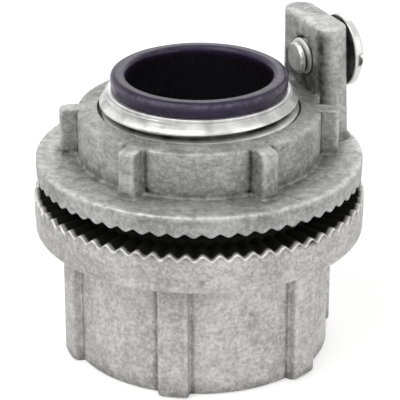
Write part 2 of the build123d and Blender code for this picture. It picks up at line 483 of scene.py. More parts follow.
# The top of the flange, with painted highlights on the edges of its teeth, and painted shade
# under those edges and in its gaps. A dark scuff crosses the side at one place.
def hubTeethPatch(columns):
    teeth = teethGrids(columns, hubTooth, hub, shared["hubReach"], 1)
    climb, crest, inside = teeth["climb"], teeth["crest"], teeth["inside"]
    scuff = bell(ringAngles(columns), math.radians(hub["scuffAngle"]), math.radians(hub["scuffSpread"]))
    # Painted shade on the upper side of each tooth under its bright edge, and the real dark scuff
    sideShadeAndScuff = hub["toothSideShadeAndScuff"] * (climb**2 * crest + scuff * climb)
    side = marked(teeth["side"], hub["toothEdgeHighlight"] * climb**4, sideShadeAndScuff)
    bend = marked(teeth["bend"], 1 - 0.1 * crest)
    face = marked(teeth["face"], 0, np.clip(1 + 0.9 * inside, 0, hub["toothFaceShade"]))
    return np.concatenate([side, bend, face, marked(teeth["wall"], 0, 1)])


def nippleRadius(angle, height):
    thread = threadRadius(angle, height, nippleThread)
    lead = nippleThread["root"] + shared["hubTop"] - hub["nippleLip"] - height
    foot = nippleThread["crest"] + 0 * height
    fromFoot = ramp(height, hub["grooveFloor"], shared["pitch"])
    return np.minimum(foot + (thread - foot) * fromFoot, np.maximum(lead, nippleThread["root"]))


def socketRadius(angle, height):
    thread = threadRadius(angle, height, socketThread)
    fromEnds = np.minimum(height - hub["countersink"], hub["socketDepth"] - height)
    return hub["socket"] + (thread - hub["socket"]) * np.clip(fromEnds / 2, 0, 1)


def makeHubBody():
    columns = hubTooth["count"] * hub["columnsPerTooth"]
    few = columns // shared["bridgeRatio"]
    nippleTop = shared["hubTop"]
    lip = nippleTop - hub["nippleLip"]
    around = ringAngles(few)
    corners = [
        (nippleThread["root"] - hub["lipInset"], lip),
        (nippleThread["root"] - hub["lipInset"], nippleTop),
        (hub["waterway"], nippleTop),
        (hub["waterway"], hub["socketDepth"]),
        (hub["socket"], hub["socketDepth"]),
    ]
    bore = turned(around, roundedLine(corners, hub["lipRounds"]))
    # A painted highlight round the top of the nipple's bore
    depth, strength = hub["lipHighlight"]
    bore = marked(bore, (bore[..., 2] > nippleTop - depth) * strength)
    socket, climb = threadPatch(hub["countersink"], hub["socketDepth"], few, socketRadius, socketThread)
    patches = [
        barrelPatch(columns),
        hubTeethPatch(columns),
        threadPatch(hub["grooveFloor"], lip, few, nippleRadius, nippleThread),
        bore,
        (socket[::-1], -climb),
    ]
    return meshFromPatches("hub_body_cast", patches)


# Sealing ring and throat

seal = dict(middle=19.525, section=2.825, height=26.575, flash=0.06, columns=192, steps=40)


# A circle carried round the axis, with the thin flash line of its mould at its widest points
def makeSealingRing():
    around = ringAngles(seal["columns"])
    turn = ringAngles(seal["steps"]).T
    section = seal["section"] - seal["flash"] + seal["flash"] * np.abs(np.cos(turn)) ** 60
    radius = seal["middle"] + section * np.cos(turn)
    height = seal["height"] + section * np.sin(turn)
    return meshFromPatches("rubber_seal", [aroundAxis(around, radius, height)])


throat = dict(
    bore=12.15,
    skirt=13.25,
    skirtEnd=37.6,
    leadIn=0.7,
    edgeRound=0.95,
    footRound=0.35,
    footTaper=0.2,
    waver=0.05,
    columns=320,
    outerRub=(-0.2, 0.35, 1),
    outerRubHeight=(-0.6, 0.4, 1),
    innerHighlight=(0.35, 0.2, 0.6),
    innerHighlightHeight=(0, 0.5, 1),
    deepFrom=-0.5,
    deepRun=1.5,
    deepShade=1.3,
)


# The lip and skirt of the liner: a rounded profile turned round the axis, with the lip's
# radius wavering slightly as soft moulded plastic does
def makeThroat():
    around = ringAngles(throat["columns"])
    reach = shared["throatReach"] - throat["waver"]
    corners = [
        (throat["bore"], throat["skirtEnd"] + 1),
        (throat["bore"] + throat["leadIn"], throat["skirtEnd"]),
        (throat["skirt"], throat["skirtEnd"]),
        (throat["skirt"], shared["hubTop"]),
        (reach - throat["footTaper"], shared["hubTop"]),
        (reach, shared["throatTop"]),
        (throat["bore"], shared["throatTop"]),
        (throat["bore"], throat["skirtEnd"] + 2),
    ]
    rounds = {4: throat["footRound"], 5: throat["edgeRound"], 6: throat["edgeRound"]}
    line = divided(roundedLine(corners, rounds, 10), 0.6)
    radius, height = line[:, :1], line[:, 1:]
    onLip = (height > shared["hubTop"] + 0.1) & (radius > throat["skirt"])
    waver = throat["waver"] * np.sin(3 * around + 0.6) * np.cos(7 * around) * onLip
    grid = aroundAxis(around, radius + waver, height)
    top = shared["throatTop"]
    # A real scuff along the outer edge of the lip, a painted highlight along its inner edge, and painted
    # shade deep in the bore
    outer = markAt(radius, reach, throat["outerRub"]) * markAt(height, top, throat["outerRubHeight"])
    inner = markAt(radius, throat["bore"], throat["innerHighlight"]) * markAt(height, top, throat["innerHighlightHeight"])
    deep = ramp(height, top + throat["deepFrom"], -throat["deepRun"]) * (radius < throat["skirt"])
    return meshFromPatches("throat_liner", [marked(grid, outer + inner, throat["deepShade"] * deep)])


# Grounding locknut

nut = dict(
    bore=16.75,
    boreChamfer=0.35,
    boreEdge=16.96,
    roof=33.0,
    toothTip=shared["nutToothTip"],
    toothInner=22.1,
    toothHeight=0.65,
    toothRound=0.22,
    toothBase=32.55,
    toothSteps=5,
    toothWall=(32.4, 33.0),
    toothEdgeHighlight=0.3,
    partingHeight=33.0,
    partingStep=0.07,
    flangeTop=34.6,
    flangeRound=0.5,
    collar=20.25,
    collarTop=42.35,
    collarRound=0.4,
    collarRoot=0.6,
    crown=0.4,
    ribFlare=0.22,
    ribFlareHeight=2.2,
    fillerFace=21.6,
    fillerNear=4.2,
    fillerFar=8.6,
    fillerEdge=0.25,
    edgeZone=0.6,
    ribFade=25.6,
    columnsPerTooth=16,
    ribEdgeHighlight=(-0.25, 0.3, 0.3),
    topEdgeHighlight=(-0.1, 0.3, 0.25),
    ribCapHighlight=(0, 0.35, 0.3),
    rimEdgeHighlight=(-0.15, 0.25, 0.6),
    flangeTopHighlight=(0, 0.3, 0.4),
    flangeTopMiddle=25.0,
    flangeTopSpread=2.4,
    collarFootHighlight=(0.2, 0.15, 0.9),
    collarFootAway=0.4,
    collarFootSpread=0.3,
    collarShade=(0, 1.3, 0.5),
    collarShadeSpread=1.2,
    ribFootShade=(0.5, 0.5, 0.8),
    underRimShade=(-0.9, 0.12, 0.25),
)
nutRib = dict(
    places=placeAngles(29.5, 6),
    reach=23.2,
    width=2.6,
    draft=0.2,
    corner=0.7,
    root=0.5,
    crowdSpread=1.8,
    crowdPull=8,
)
nutTooth = dict(count=61, firstCrest=-1.9, cuspPower=2.0, cuspShare=0.3)
nutThread = pipeThread(
    crestHeight=nippleThread["crestHeight"] + shared["pitch"] / 2,
    crest=15.75,
    root=nut["bore"],
)
lug = dict(
    angle=115.0,
    inner=20.2,
    topThickness=5.3,
    rootThickness=5.8,
    nearRoot=-6.0,
    nearTop=-5.2,
    farRoot=10.9,
    farTop=10.6,
    topRound=0.5,
    footRound=0.7,
    rimInset=0.05,
    holeRadius=3.16,
    holeChamfer=0.3,
    holeColumns=64,
    holeShade=0.8,
    cutterSpare=2,
    footSink=0.04,
    topHighlight=(-0.15, 0.35, 0.7),
    topHighlightSpread=0.5,
    footShade=(0, 1.6, 0.5),
    cornerShade=(0.15 * math.pi, 0.42, 0.85),
    backSpread=0.1,
    backHighlight=0.3,
    backShade=0.7,
    shadeTop=48.3,
    shadeRun=1.5,
    topUnshaded=0.8,
    sideSteps=24,
    endSteps=20,
)
screwPlace = dict(along=1.7, height=47.8)
outward = np.array([math.sin(math.radians(lug["angle"])), -math.cos(math.radians(lug["angle"])), 0])
sideways = np.array([-outward[1], outward[0], 0])
upright = np.array([0, 0, 1.0])


# The collar and the top of the flange: a profile turned round the axis, with the ribs, and the
# flat-faced block that fills the space between the collar and the lug. The ribs widen
# towards their foot.
def collarPatch(columns):
    reach = shared["nutReach"]
    step = nut["partingStep"]
    corners = [
        (nut["boreEdge"], nut["collarTop"] + nut["crown"]),
        (nut["collar"], nut["collarTop"]),
        (nut["collar"], nut["flangeTop"]),
        (reach, nut["flangeTop"]),
        (reach, nut["partingHeight"] + step),
        (reach - step, nut["partingHeight"] - step),
        (reach - step, nut["toothBase"]),
    ]
    rounds = {1: nut["collarRound"], 2: nut["collarRoot"], 3: nut["flangeRound"]}
    line = divided(roundedLine(corners, rounds), 0.9)
    radius, height = line[:, :1], line[:, 1:]
    inside = ramp(radius, nut["boreEdge"], nut["collar"] - nut["boreEdge"]) ** 6
    outside = 1 - (radius - nut["collar"]) / (nut["ribFade"] - nut["collar"])
    weight = np.where(radius <= nut["collar"] + 1e-6, inside, np.clip(outside, 0, 1))
    plain, crowd = ribColumns(columns, nutRib, nut["collar"])
    onCollar = ramp(height, nut["partingHeight"], nut["flangeTop"] - nut["partingHeight"])
    angle = plain + (crowd - plain) * onCollar
    foot = ramp(height, nut["flangeTop"] + nut["ribFlareHeight"], -nut["ribFlareHeight"])
    along = fromRib(angle, nutRib, nut["collar"]) / (1 + nut["ribFlare"] * foot**2)
    rise = ribRise(along, nutRib, nut["collar"])
    fromLug = angle - math.radians(lug["angle"])
    across = np.sin(fromLug) * nut["fillerFace"]
    room = np.minimum(across + nut["fillerNear"], nut["fillerFar"] - across)
    ending = np.clip(room / nut["fillerEdge"], 0, 1) * (np.cos(fromLug) > 0)
    filler = nut["fillerFace"] / np.maximum(np.cos(fromLug), 0.5) - nut["collar"]
    rise = np.maximum(rise, filler * ending)
    onWall = weight * (height > nut["flangeTop"] + 0.5)
    half = nutRib["width"] / 2
    onRim = radius > reach - nut["edgeZone"]
    onTop = radius > nut["collar"] - nut["edgeZone"]
    onFoot = bell(radius, nut["collar"] + nut["collarFootAway"], nut["collarFootSpread"])
    onFlange = bell(radius, nut["flangeTopMiddle"], nut["flangeTopSpread"])
    atCollar = bell(radius, nut["collar"], nut["collarShadeSpread"])
    # Painted highlights along the rib edges, the collar's top edge, the rib caps, the rim's edge, the
    # flange's top and the collar's foot; painted shade at the collar's foot, beside the feet of the ribs and
    # under the rim's edge
    highlightAndWear = marksOf(
        (along, half, nut["ribEdgeHighlight"], onWall),
        (height, nut["collarTop"], nut["topEdgeHighlight"], onTop),
        (height, nut["collarTop"], nut["ribCapHighlight"], rise * weight > 1),
        (height, nut["flangeTop"], nut["rimEdgeHighlight"], onRim),
        (height, nut["flangeTop"], nut["flangeTopHighlight"], onFlange),
        (height, nut["flangeTop"], nut["collarFootHighlight"], onFoot),
    )
    shadeAndStain = marksOf(
        (height, nut["flangeTop"], nut["collarShade"], atCollar),
        (along, half + nutRib["draft"], nut["ribFootShade"], onWall),
        (height, nut["flangeTop"], nut["underRimShade"], onRim),
    )
    return marked(aroundAxis(angle, radius + rise * weight, height), highlightAndWear, shadeAndStain)


# The toothed underside of the flange, with painted highlights at its crests and painted shade in its gaps
def nutTeethPatch(columns):
    teeth = teethGrids(columns, nutTooth, nut, shared["nutReach"] - nut["partingStep"], -1)
    side = marked(teeth["side"], nut["toothEdgeHighlight"] * teeth["climb"] ** 3 * teeth["crest"])
    bend = marked(teeth["bend"], 0.1, 0.3)
    return np.concatenate([side, bend, marked(teeth["face"], 0, 1), marked(teeth["wall"], 0, 1)])


def nutBoreRadius(angle, height):
    thread = threadRadius(angle, height, nutThread)
    top = nut["collarTop"] + nut["crown"] - nut["boreChamfer"]
    fromEnds = np.minimum(height - nut["roof"], top - height)
    return np.maximum(thread, nut["bore"] - 1.6 * fromEnds)


# The lug: an outline with two straight sides and round ends, carried upwards while it tapers.
# Each row is the middle line of the plate, moved outwards along the outline's normal by half
# the thickness plus the row's own offset, and both ends close on the middle line. The foot
# stops short of the flange's rim.
def makeLugPlate():
    half = lug["rootThickness"] / 2
    foot = nut["flangeTop"] - lug["footSink"]
    bottom = (nut["roof"] + nut["flangeTop"]) / 2
    corners = [
        (-half, bottom),
        (lug["footRound"] + 0.1, bottom),
        (lug["footRound"] + 0.1, foot),
        (0, foot),
        (0, shared["lugTop"]),
        (-half, shared["lugTop"]),
    ]
    line = roundedLine(corners, {3: lug["footRound"], 4: lug["topRound"]}, 6)
    line = divided(line, 1.2)
    offset, height = line[:, :1], line[:, 1:]
    share = ramp(height, foot, shared["lugTop"] - foot)
    thick = (lug["rootThickness"] + (lug["topThickness"] - lug["rootThickness"]) * share) / 2
    near = lug["nearRoot"] + (lug["nearTop"] - lug["nearRoot"]) * share + thick
    far = lug["farRoot"] + (lug["farTop"] - lug["farRoot"]) * share - thick
    run = np.arange(lug["sideSteps"]) / lug["sideSteps"]
    bend = np.arange(lug["endSteps"]) / lug["endSteps"]
    place = np.concatenate([run, 1 + 0 * bend, 1 - run, 0 * bend])[None, :]
    facing = math.pi * np.concatenate([0 * run, bend, 1 + 0 * run, 1 + bend])[None, :]
    grow = np.maximum(thick + offset, 0)
    along = near + (far - near) * place + grow * np.sin(facing)
    out = lug["inner"] + thick + grow * np.cos(facing)
    grid = out[..., None] * outward + along[..., None] * sideways + (height + 0 * out)[..., None] * upright
    radius = np.hypot(grid[..., 0], grid[..., 1])
    toRim = shared["nutReach"] - lug["rimInset"] - radius
    grid[..., :2] *= np.minimum(1, 1 + toRim / radius)[..., None]
    # Painted highlights along the top edge and on the upper part of the face towards the axis; painted shade
    # on the lower part of that face, in a strip where the near end turns from it, and at the foot
    highlightAndWear = markAt(height, shared["lugTop"], lug["topHighlight"]) * bell(offset, 0, lug["topHighlightSpread"])
    atBack = bell(facing, math.pi, lug["backSpread"])
    atCorner = markAt(facing, math.pi, lug["cornerShade"])
    shaded = ramp(height, lug["shadeTop"], -lug["shadeRun"])
    highlightAndWear = highlightAndWear + atBack * (1 - shaded) * lug["backHighlight"]
    belowTop = ramp(height, shared["lugTop"] - lug["topUnshaded"], -lug["topUnshaded"])
    shadeAndStain = np.maximum(atCorner, atBack * shaded * lug["backShade"]) * belowTop
    shadeAndStain = shadeAndStain + markAt(height, foot, lug["footShade"]) * np.clip(toRim, 0, 1)
    return meshFromPatches("lug_plate", [marked(grid, highlightAndWear, shadeAndStain)], "collapsed")


# The same shape with another one added to it or cut from it. Each point takes the marks of the
# nearest point that either shape had, and new points on a cut take those of the cutter.
def combined(piece, other, operation):
    tree = KDTree(len(piece.data.vertices) + len(other.data.vertices))
    marks = np.concatenate([readMarks(piece.data), readMarks(other.data)])
    for number, vertex in enumerate([*piece.data.vertices, *other.data.vertices]):
        tree.insert(vertex.co, number)
    tree.balance()
    change = piece.modifiers.new("combine", "BOOLEAN")
    change.object = other
    change.operation = operation
    change.solver = "EXACT"
    ready = piece.evaluated_get(bpy.context.evaluated_depsgraph_get())
    mesh = bpy.data.meshes.new_from_object(ready)
    piece.modifiers.clear()
    piece.data = mesh
    bpy.data.objects.remove(other)
    found = np.array([tree.find(vertex.co)[1:] for vertex in mesh.vertices])
    nearest = found[:, 0].astype(int)
    if operation == "DIFFERENCE":
        isNew = found[:, 1] > shared["samePlace"] * mm
        nearest = np.where(isNew, len(marks) - 1, nearest)
    writeMarks(mesh, marks[nearest])
    shadeSmooth(mesh)
    print(piece.name, operation.lower(), "faces", len(mesh.polygons))
    return piece


# A round shape on the axis of the ground screw, from a profile of radius and distance outward
def onScrewAxis(grid):
    along = grid[..., 0:1] + screwPlace["along"]
    height = grid[..., 1:2] + screwPlace["height"]
    points = grid[..., 2:3] * outward + along * sideways + height * upright
    return np.concatenate([points, grid[..., 3:]], -1)


def makeHoleCutter():
    around = ringAngles(lug["holeColumns"])
    outer = lug["inner"] + lug["topThickness"] + 0.2
    wide = lug["holeRadius"] + lug["holeChamfer"] + lug["cutterSpare"]
    profile = np.array([
        (wide, lug["inner"] - lug["cutterSpare"]),
        (lug["holeRadius"], lug["inner"] + lug["holeChamfer"]),
        (lug["holeRadius"], outer - lug["holeChamfer"]),
        (wide, outer + lug["cutterSpare"]),
    ])
    # The cutter leaves painted shade on the walls of the hole
    grid = marked(turned(around, profile), 0, lug["holeShade"])
    return meshFromPatches("hole_cutter", [onScrewAxis(grid)], "capped")


def makeLocknut():
    columns = nutTooth["count"] * nut["columnsPerTooth"]
    few = columns // shared["bridgeRatio"]
    top = nut["collarTop"] + nut["crown"] - nut["boreChamfer"]
    patches = [
        threadPatch(nut["roof"], top, few, nutBoreRadius, nutThread),
        collarPatch(columns),
        nutTeethPatch(columns),
    ]
    ring = meshFromPatches("grounding_nut", patches)
    ring = combined(ring, makeLugPlate(), "UNION")
    return combined(ring, makeHoleCutter(), "DIFFERENCE")


# Ground screw

screw = dict(
    seat=26.86,
    length=8.4,
    tipRadius=2.3,
    head=6.2,
    headRound=0.35,
    rim=1.15,
    headHeight=3.1,
    domeQuarter=0.7,
    neck=0.3,
    tipStep=0.1,
    tipSlope=0.9,
    slotWidth=1.7,
    slotDepth=2.3,
    shadeFrom=25.4,
    tipBevel=0.35,
    bevelHighlight=0.8,
    tipShade=0.55,
    headShade=1.1,
    slotShade=0.9,
    columns=96,
)
screwThread = dict(pitch=1.27, crestHeight=19.2, crest=3.1, root=2.35, land=0.22)


def screwRadius(angle, height):
    thread = threadRadius(angle, height, screwThread)
    fromTip = height - screw["seat"] + screw["length"]
    fromHead = ramp(height, screw["seat"] - screw["neck"], -screwThread["pitch"])
    thread = screwThread["crest"] + (thread - screwThread["crest"]) * fromHead
    return np.minimum(thread, screw["tipRadius"] - screw["tipStep"] + fromTip * screw["tipSlope"])


# The arc of a circle through three points, whose centre lies where the upright middle lines
# of the first two and the last two cross
def arcThrough(first, middle, last, steps):
    first, middle, last = np.array([first, middle, last], float)
    sides = 2 * np.array([middle - first, last - middle])
    squares = np.array([middle @ middle - first @ first, last @ last - middle @ middle])
    centre = np.linalg.solve(sides, squares)
    start, end = first - centre, last - centre
    begin = math.atan2(start[1], start[0])
    turn = begin + np.linspace(0, 1, steps) * (math.atan2(end[1], end[0]) - begin)
    return centre + np.linalg.norm(start) * np.stack([np.cos(turn), np.sin(turn)], -1)


# Threaded shank, flat underside and a head whose dome is an arc through its rim and its top
def makeScrew():
    tip = screw["seat"] - screw["length"]
    around = ringAngles(screw["columns"])
    shank, climb = threadPatch(tip, screw["seat"], screw["columns"], screwRadius, screwThread)
    rim = screw["seat"] + screw["rim"]
    under = [(screwThread["crest"], screw["seat"]), (screw["head"], screw["seat"]), (screw["head"], rim)]
    under = roundedLine(under, {1: screw["headRound"]})
    rise = screw["headHeight"] - screw["rim"]
    quarter = screw["domeQuarter"]
    crown = (screw["head"] * quarter, rim + rise * quarter)
    dome = arcThrough((screw["head"], rim), crown, (0, rim + rise), 30)[1:-1]
    profile = np.concatenate([under, dome])
    # Painted shade on the underside of the head
    belowHead = profile[:, :1] * (profile[:, 1:] < screw["seat"] + 0.05) / screw["head"]
    head = marked(turned(around, profile), 0, screw["headShade"] * belowHead)
    # Painted shade on the shank between the lug and the head, a painted highlight on the tip's bevel, and
    # painted shade on the tip's face
    shank[..., 4] = np.maximum(shank[..., 4], shank[..., 2] > screw["shadeFrom"])
    onTip = shank[..., 2] < tip + 1e-6
    onBevel = shank[..., 2] < tip + screw["tipBevel"]
    shank[..., 3] = np.where(onTip, 0, np.where(onBevel, screw["bevelHighlight"], shank[..., 3]))
    shank[..., 4] = np.where(onTip, screw["tipShade"], np.where(onBevel, 0, shank[..., 4]))
    piece = meshFromPatches("bonding_screw", [(onScrewAxis(shank), climb), onScrewAxis(head)], "capped")
    top = screw["seat"] + screw["headHeight"]
    floor = np.array([(-8, -0.5), (8, -0.5), (8, 0.5), (-8, 0.5)]) * [1, screw["slotWidth"]]
    levels = (top - screw["slotDepth"], top + 1)
    slot = np.stack([np.hstack([floor, np.full((4, 1), level)]) for level in levels])
    # The walls of the slot take the cutter's painted shade
    slot = marked(slot, 0, screw["slotShade"])
    cutter = meshFromPatches("slot_cutter", [onScrewAxis(slot)], "capped")
    return combined(piece, cutter, "DIFFERENCE")


# Shader node groups that several materials use


# A node group of numbers: its inputs with their default values, and the names of its outputs
def newGroup(name, inputs, outputs):
    group = bpy.data.node_groups.new(name, "ShaderNodeTree")
    for label, value in inputs.items():
        socket = group.interface.new_socket(label, in_out="INPUT", socket_type="NodeSocketFloat")
        socket.default_value = value
    for label in outputs:
        group.interface.new_socket(label, in_out="OUTPUT", socket_type="NodeSocketFloat")
    start = group.nodes.new("NodeGroupInput")
    end = group.nodes.new("NodeGroupOutput")
    return group, start, end


# A socket takes a value or the output of another node
def feed(tree, socket, value):
    if isinstance(value, bpy.types.NodeSocket):
        tree.links.new(value, socket)
    elif value is not None:
        socket.default_value = value


def addNode(tree, kind, settings=None, values=None):
    node = tree.nodes.new(kind)
    for key, value in (settings or {}).items():
        setattr(node, key, value)
    for key, value in (values or {}).items():
        feed(tree, node.inputs[key], value)
    return node


def addMath(tree, operation, first, second, clamp=False):
    settings = dict(operation=operation, use_clamp=clamp)
    return addNode(tree, "ShaderNodeMath", settings, {0: first, 1: second}).outputs[0]


# A value that goes from 0 to 1 as another goes from one bound to the other
def addRange(tree, value, low, high):
    values = {"Value": value, "From Min": low, "From Max": high}
    return addNode(tree, "ShaderNodeMapRange", dict(clamp=True), values).outputs["Result"]


# A mix of two colours, whose sockets the node keeps in places 6 and 7
def addMix(tree, share, first, second):
    values = {0: share, 6: first, 7: second}
    return addNode(tree, "ShaderNodeMix", dict(data_type="RGBA"), values).outputs[2]


def addNoise(tree, vector, scale, detail, roughness=0.55):
    values = dict(Vector=vector, Scale=scale, Detail=detail, Roughness=roughness)
    return addNode(tree, "ShaderNodeTexNoise", None, values).outputs["Fac"]


# The skin of a die casting: broad clouds, fine mottle, finer specks, smudges drawn out round
# the axis, grain as a height, and a few small pits. Each noise has a scale, a detail and a
# roughness, and each range the two values between which a pattern sets in.
castLook = dict(
    clouds=(110, 4, 0.55),
    mottle=(700, 5, 0.65),
    specks=(1700, 3, 0.7),
    smudges=(210, 5, 0.7),
    smudgeRange=(0.56, 0.72),
    smudgeStretch=(1, 1, 4.5),
    mottleGrain=0.6,
    speckGrain=0.4,
    pitScale=330.0,
    pitRange=(0.22, 0.1),
    pitRarity=(240, 1, 0.55),
    rarityRange=(0.58, 0.66),
    paleRange=(0.5, 0.68),
    darkRange=(0.5, 0.32),
)


def buildCastSkin():
    labels = ("Clouds", "Mottle", "Specks", "Smudges", "Grain", "Pits")
    group, start, end = newGroup("cast skin", dict(Size=1.0), labels)
    place = addNode(group, "ShaderNodeTexCoord").outputs["Object"]
    scaling = {0: place, "Scale": start.outputs["Size"]}
    vector = addNode(group, "ShaderNodeVectorMath", dict(operation="SCALE"), scaling).outputs[0]
    clouds = addNoise(group, vector, *castLook["clouds"])
    mottle = addNoise(group, vector, *castLook["mottle"])
    specks = addNoise(group, vector, *castLook["specks"])
    drawn = addNode(group, "ShaderNodeMapping", None, dict(Vector=vector, Scale=castLook["smudgeStretch"]))
    smudges = addNoise(group, drawn.outputs["Vector"], *castLook["smudges"])
    smudges = addRange(group, smudges, *castLook["smudgeRange"])
    grain = addMath(group, "MULTIPLY", mottle, castLook["mottleGrain"])
    grain = addMath(group, "ADD", grain, addMath(group, "MULTIPLY", specks, castLook["speckGrain"]))
    spots = dict(Vector=vector, Scale=castLook["pitScale"], Randomness=1.0)
    spots = addNode(group, "ShaderNodeTexVoronoi", dict(feature="F1"), spots)
    near = addRange(group, spots.outputs["Distance"], *castLook["pitRange"])
    rare = addRange(group, addNoise(group, vector, *castLook["pitRarity"]), *castLook["rarityRange"])
    pits = addMath(group, "MULTIPLY", near, rare)
    for label, value in zip(labels, (clouds, mottle, specks, smudges, grain, pits)):
        group.links.new(value, end.inputs[label])
    return group


# Where the mesh marks painted highlights, with some real scuffs, and painted shade, with one
# real stain: the marks of the mesh, broken up by a mottle
markLook = dict(breakup=(0.35, 0.6), leastHighlightAndWear=0.2, mostShadeAndStain=1.15, thinnedShadeAndStain=0.35)


def buildLightAndWearMarks():
    group, start, end = newGroup("wear marks", dict(Breakup=0.5), ("HighlightAndWearMark", "ShadeAndStainMark"))
    highlightAndWear = addNode(group, "ShaderNodeAttribute", dict(attribute_name="highlightAndWear")).outputs["Fac"]
    shadeAndStain = addNode(group, "ShaderNodeAttribute", dict(attribute_name="shadeAndStain")).outputs["Fac"]
    thin = addRange(group, start.outputs["Breakup"], *markLook["breakup"])
    kept = addMath(group, "MULTIPLY", thin, 1 - markLook["leastHighlightAndWear"])
    kept = addMath(group, "ADD", kept, markLook["leastHighlightAndWear"])
    thick = addMath(group, "MULTIPLY", thin, markLook["thinnedShadeAndStain"])
    thick = addMath(group, "SUBTRACT", markLook["mostShadeAndStain"], thick)
    group.links.new(addMath(group, "MULTIPLY", highlightAndWear, kept, True), end.inputs["HighlightAndWearMark"])
    group.links.new(addMath(group, "MULTIPLY", shadeAndStain, thick, True), end.inputs["ShadeAndStainMark"])
    return group


castSkin = buildCastSkin()
lightAndWearMarks = buildLightAndWearMarks()


def newMaterial(name, look=None):
    material = bpy.data.materials.new(name)
    material.use_nodes = True
    shader = material.node_tree.nodes["Principled BSDF"]
    for label, key in (("Metallic", "metallic"), ("Specular IOR Level", "specular")):
        if look and key in look:
            shader.inputs[label].default_value = look[key]
    return material, material.node_tree, shader


def addGroup(tree, group, values=None):
    return addNode(tree, "ShaderNodeGroup", dict(node_tree=group), values)


# Painted light and wear over a colour: places marked bright, as painted highlights and worn
# scuffs, take the bright tone, and places marked dark, as painted shade and a stain, take the
# dark tone
def addLightAndWear(tree, breakup, colour, look, highlightAndWearShare=1.0):
    paintedLightAndWear = addGroup(tree, lightAndWearMarks, dict(Breakup=breakup))
    brightShare = addMath(tree, "MULTIPLY", paintedLightAndWear.outputs["HighlightAndWearMark"], highlightAndWearShare)
    colour = addMix(tree, brightShare, colour, look["highlightAndWearTone"])
    return addMix(tree, paintedLightAndWear.outputs["ShadeAndStainMark"], colour, look["shadeAndStain"]), paintedLightAndWear


# A pattern that goes between the dark and the light tone of a look
def addTones(tree, pattern, look):
    return addMix(tree, addRange(tree, pattern, *look["tones"]), look["dark"], look["light"])


# Gives a shader its colour, and a roughness that varies with a pattern. Places marked bright,
# as painted highlights and worn scuffs, are smoother, and places marked dark, as painted shade
# and a stain, duller.
def addSurface(tree, shader, colour, pattern, look, paintedLightAndWear=None):
    tree.links.new(colour, shader.inputs["Base Color"])
    rough = addMath(tree, "ADD", addMath(tree, "MULTIPLY", pattern, look["roughSpread"]), look["rough"])
    if paintedLightAndWear:
        polish = addMath(tree, "MULTIPLY", paintedLightAndWear.outputs["HighlightAndWearMark"], look["polish"])
        dulling = addMath(tree, "MULTIPLY", paintedLightAndWear.outputs["ShadeAndStainMark"], look["dulling"])
        rough = addMath(tree, "ADD", addMath(tree, "SUBTRACT", rough, polish), dulling, True)
    tree.links.new(rough, shader.inputs["Roughness"])


# Bumps that follow a height. A look gives their strength and their depth in millimetres.
def addBump(tree, shader, height, look):
    strength, depth = look["bump"]
    values = dict(Height=height, Strength=strength, Distance=depth * mm)
    bump = addNode(tree, "ShaderNodeBump", None, values)
    tree.links.new(bump.outputs["Normal"], shader.inputs["Normal"])


# Cast zinc: a grey that clouds and mottles between two tones, with pale specks and dark
# flecks, brighter where highlights are painted and nearly black where shade is painted and
# where a scuff lies, with the grain as bump
def castZinc(name, look):
    material, tree, shader = newMaterial(name, look)
    skin = addGroup(tree, castSkin, dict(Size=look["size"]))
    colour = addTones(tree, skin.outputs["Clouds"], look)
    layers = []
    for mask in ("Mottle", "Specks"):
        pale = addRange(tree, skin.outputs[mask], *castLook["paleRange"])
        dark = addRange(tree, skin.outputs[mask], *castLook["darkRange"])
        layers.append((pale, look["speckle"], look["speck"]))
        layers.append((dark, look["speckle"], look["fleck"]))
    layers.append((skin.outputs["Smudges"], look["smudging"], look["fleck"]))
    layers.append((skin.outputs["Pits"], look["pitting"], look["fleck"]))
    for mask, share, tone in layers:
        colour = addMix(tree, addMath(tree, "MULTIPLY", mask, share), colour, tone)
    colour, paintedLightAndWear = addLightAndWear(tree, skin.outputs["Mottle"], colour, look)
    addSurface(tree, shader, colour, skin.outputs["Mottle"], look, paintedLightAndWear)
    height = addMath(tree, "SUBTRACT", skin.outputs["Grain"], skin.outputs["Pits"])
    addBump(tree, shader, height, look)
    return material


hubZinc = castZinc("hub zinc", dict(
    size=1.0, speckle=0.55, smudging=0.5, pitting=0.7, rough=0.46, roughSpread=0.25, metallic=0.6,
    bump=(0.7, 0.3), specular=0.3, polish=0.12, dulling=0.3, tones=(0.38, 0.62),
    dark=(0.42, 0.415, 0.40, 1), light=(0.61, 0.605, 0.59, 1), speck=(0.80, 0.79, 0.77, 1),
    fleck=(0.30, 0.295, 0.285, 1), highlightAndWearTone=(0.84, 0.84, 0.82, 1), shadeAndStain=(0.015, 0.015, 0.013, 1),
))
nutZinc = castZinc("locknut zinc", dict(
    size=0.9, speckle=0.55, smudging=0.9, pitting=0.8, rough=0.42, roughSpread=0.25, metallic=0.6,
    bump=(0.85, 0.3), specular=0.3, polish=0.12, dulling=0.3, tones=(0.38, 0.62),
    dark=(0.29, 0.29, 0.28, 1), light=(0.50, 0.50, 0.49, 1), speck=(0.62, 0.62, 0.61, 1),
    fleck=(0.22, 0.22, 0.215, 1), highlightAndWearTone=(0.80, 0.80, 0.79, 1), shadeAndStain=(0.015, 0.015, 0.013, 1),
))


# Cut and plated metal: bright, with tool marks that run round the axis of the piece, brighter
# where highlights are painted, and dull and dark where shade is painted
turnedLook = dict(stretch=(60, 60, 9000), marks=(1.0, 2), patches=(260, 4))


